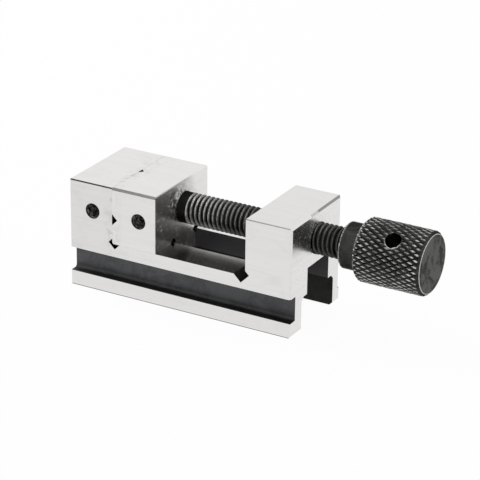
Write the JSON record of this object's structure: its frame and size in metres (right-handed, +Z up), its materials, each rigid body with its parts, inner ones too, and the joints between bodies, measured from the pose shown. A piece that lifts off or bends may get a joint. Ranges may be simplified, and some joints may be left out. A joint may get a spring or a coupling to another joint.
{
  "type": "toolmakers vise",
  "caption": "Small ground steel vise: fixed jaw and screw block milled with their bed, a sliding jaw with vee grooves, and a screw with a knurled head that closes it.",
  "frame": {"origin": "on the base, under the fixed jaw's clamping face, in the middle of the body's width", "axes": "+X from the fixed jaw to the knurled head, along the screw; +Y from the grooved near side to the far side; +Z up"},
  "size_m": [0.0914, 0.025, 0.0289],
  "materials": {
    "ground_steel": "fine ground steel with black oxide in its grooves and slots",
    "black_oxide_steel": "turned, knurled and blackened steel, worn bright on the knurl's peaks",
    "hidden_steel": "plain hardened steel"
  },
  "bodies": {
    "body": {"body": "ground_steel"},
    "jaw": {"movable_jaw": "ground_steel", "guide_plate": "hidden_steel", "guide_screw": "hidden_steel", "retaining_pin_near": "hidden_steel", "retaining_pin_far": "hidden_steel"},
    "screw": {"spindle": "black_oxide_steel"}
  },
  "joints": [
    {"name": "jaw_slide", "type": "slide", "parent": "body", "child": "jaw", "axis": [1, 0, 0], "range_m": [0, 0.0245]},
    {"name": "screw_turn", "type": "hinge", "parent": "jaw", "child": "screw", "pos_m": [0.0495, 0.00125, 0.021], "axis": [1, 0, 0], "range_deg": [0, 7056]}
  ],
  "couplings": [
    {"joint": "screw_turn", "follows": "jaw_slide", "rad_per_m": 5026.5}
  ]
}
